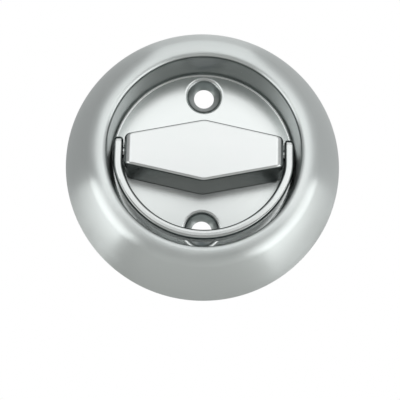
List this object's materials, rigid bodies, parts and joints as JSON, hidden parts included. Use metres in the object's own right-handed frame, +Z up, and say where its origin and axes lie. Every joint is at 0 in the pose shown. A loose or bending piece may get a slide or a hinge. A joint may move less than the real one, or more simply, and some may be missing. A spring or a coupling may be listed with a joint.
{
  "type": "flush cup handle",
  "caption": "Round dished door handle with a sloped flange, a turn knob across its pocket that works a square spindle, and a ring pull that folds out from the knob's ends.",
  "frame": {"origin": "centre of the rose's back plane, on the axis that the knob turns about", "axes": "+Z up as fixed on a door, -Y out of the door towards the user, +X to the right of someone who faces the handle"},
  "size_m": [0.084, 0.0605, 0.084],
  "materials": {
    "satin_steel": "satin brushed",
    "polished_steel": "polished",
    "plated_steel": "zinc plated",
    "spring_steel": "blackened",
    "nylon": "natural nylon"
  },
  "bodies": {
    "rose": {"rose": "satin_steel", "thrust_washer": "nylon"},
    "knob": {"turn_knob": "satin_steel", "pivot_pin_right": "polished_steel", "pivot_pin_left": "polished_steel", "back_washer": "plated_steel", "retaining_ring": "spring_steel", "spindle": "plated_steel"},
    "pull": {"ring_pull": "polished_steel"}
  },
  "joints": [
    {"name": "knob_turn", "type": "hinge", "parent": "rose", "child": "knob", "pos_m": [0, 0, 0], "axis": [0, 1, 0], "range_deg": [-60, 60]},
    {"name": "ring_flip", "type": "hinge", "parent": "knob", "child": "pull", "pos_m": [0, -0.0131, 0], "axis": [-1, 0, 0], "range_deg": [-4, 184]}
  ]
}
